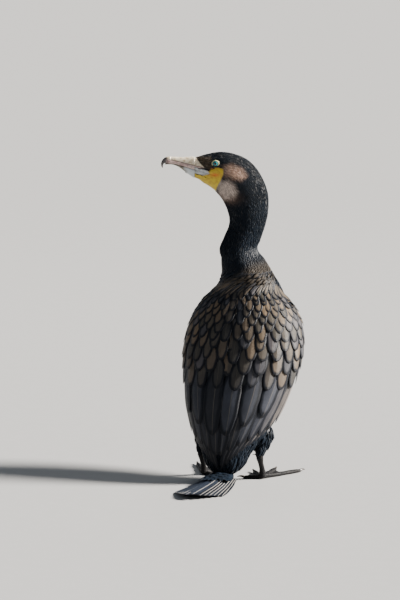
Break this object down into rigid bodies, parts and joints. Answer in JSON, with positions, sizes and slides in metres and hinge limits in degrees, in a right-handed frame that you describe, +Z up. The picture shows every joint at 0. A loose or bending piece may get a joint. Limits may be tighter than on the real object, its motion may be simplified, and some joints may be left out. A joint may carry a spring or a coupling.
{
  "type": "great cormorant",
  "caption": "Life-size still model of a cormorant standing upright with its wings folded, head turned to the left and tail laid back.",
  "frame": {"origin": "on the floor, under the middle of the bird's bounding box", "axes": "+Z up; +Y the way the breast faces; +X the bird's right side. The bill points to -X, turned to the left."},
  "size_m": [0.2535, 0.3578, 0.5603],
  "materials": {
    "gloss_black": "glossy blue-black body feathers",
    "bronze": "bronze-brown wing feathers with black edges",
    "horn": "pale horn bill, dark on the ridge and the hook",
    "gular": "bare yellow skin",
    "eye": "wet emerald eye",
    "leg": "black scaly skin",
    "claw": "dark horn"
  },
  "bodies": {
    "root": {"bill_lower": "horn", "bill_upper": "horn", "claw_left_hind": "claw", "claw_left_inner": "claw", "claw_left_middle": "claw", "claw_left_outer": "claw", "claw_right_hind": "claw", "claw_right_inner": "claw", "claw_right_middle": "claw", "claw_right_outer": "claw", "eye_left": "eye", "eye_right": "eye", "foot_left": "leg", "foot_right": "leg", "gular_pouch": "gular", "head": "gloss_black", "neck_lower": "gloss_black", "neck_upper": "gloss_black", "tail": "gloss_black", "tarsus_left": "leg", "tarsus_right": "leg", "thigh_left": "gloss_black", "thigh_right": "gloss_black", "torso": "gloss_black", "wing_left": "bronze", "wing_right": "bronze"}
  },
  "joints": []
}
